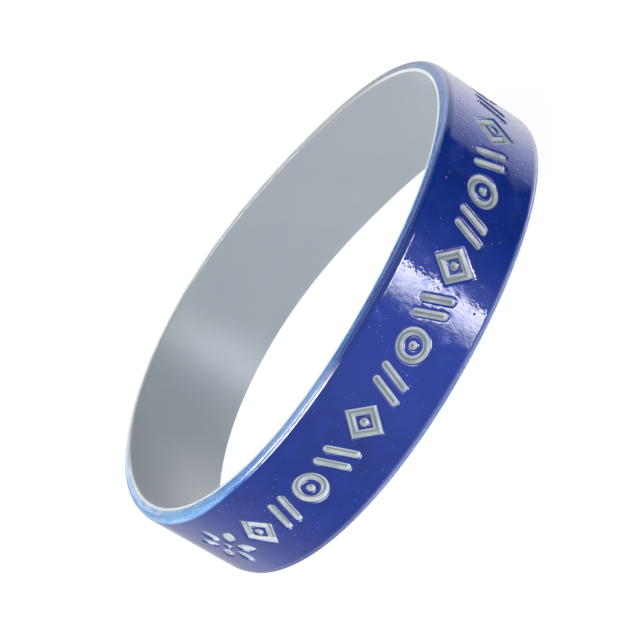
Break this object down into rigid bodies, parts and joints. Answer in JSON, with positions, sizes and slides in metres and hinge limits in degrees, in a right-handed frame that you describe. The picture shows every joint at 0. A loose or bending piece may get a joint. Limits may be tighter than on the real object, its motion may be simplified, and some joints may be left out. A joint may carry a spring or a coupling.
{
  "type": "silicone wristband",
  "caption": "One-piece moulded silicone wristband with a grey core, a thin blue colour coat and a row of sunk geometric ornament.",
  "frame": {"origin": "on the table surface, under the middle of the band's outline box", "axes": "+Z along the wrist opening, -Y towards the middle of the ornament, +X to the right seen from the ornament"},
  "size_m": [0.0584, 0.0562, 0.0127],
  "materials": {
    "core_silicone": "matte moulded silicone",
    "coat_silicone": "glossy coloured silicone coat"
  },
  "bodies": {
    "root": {"core_band": "core_silicone", "colour_coat": "coat_silicone"}
  },
  "joints": []
}
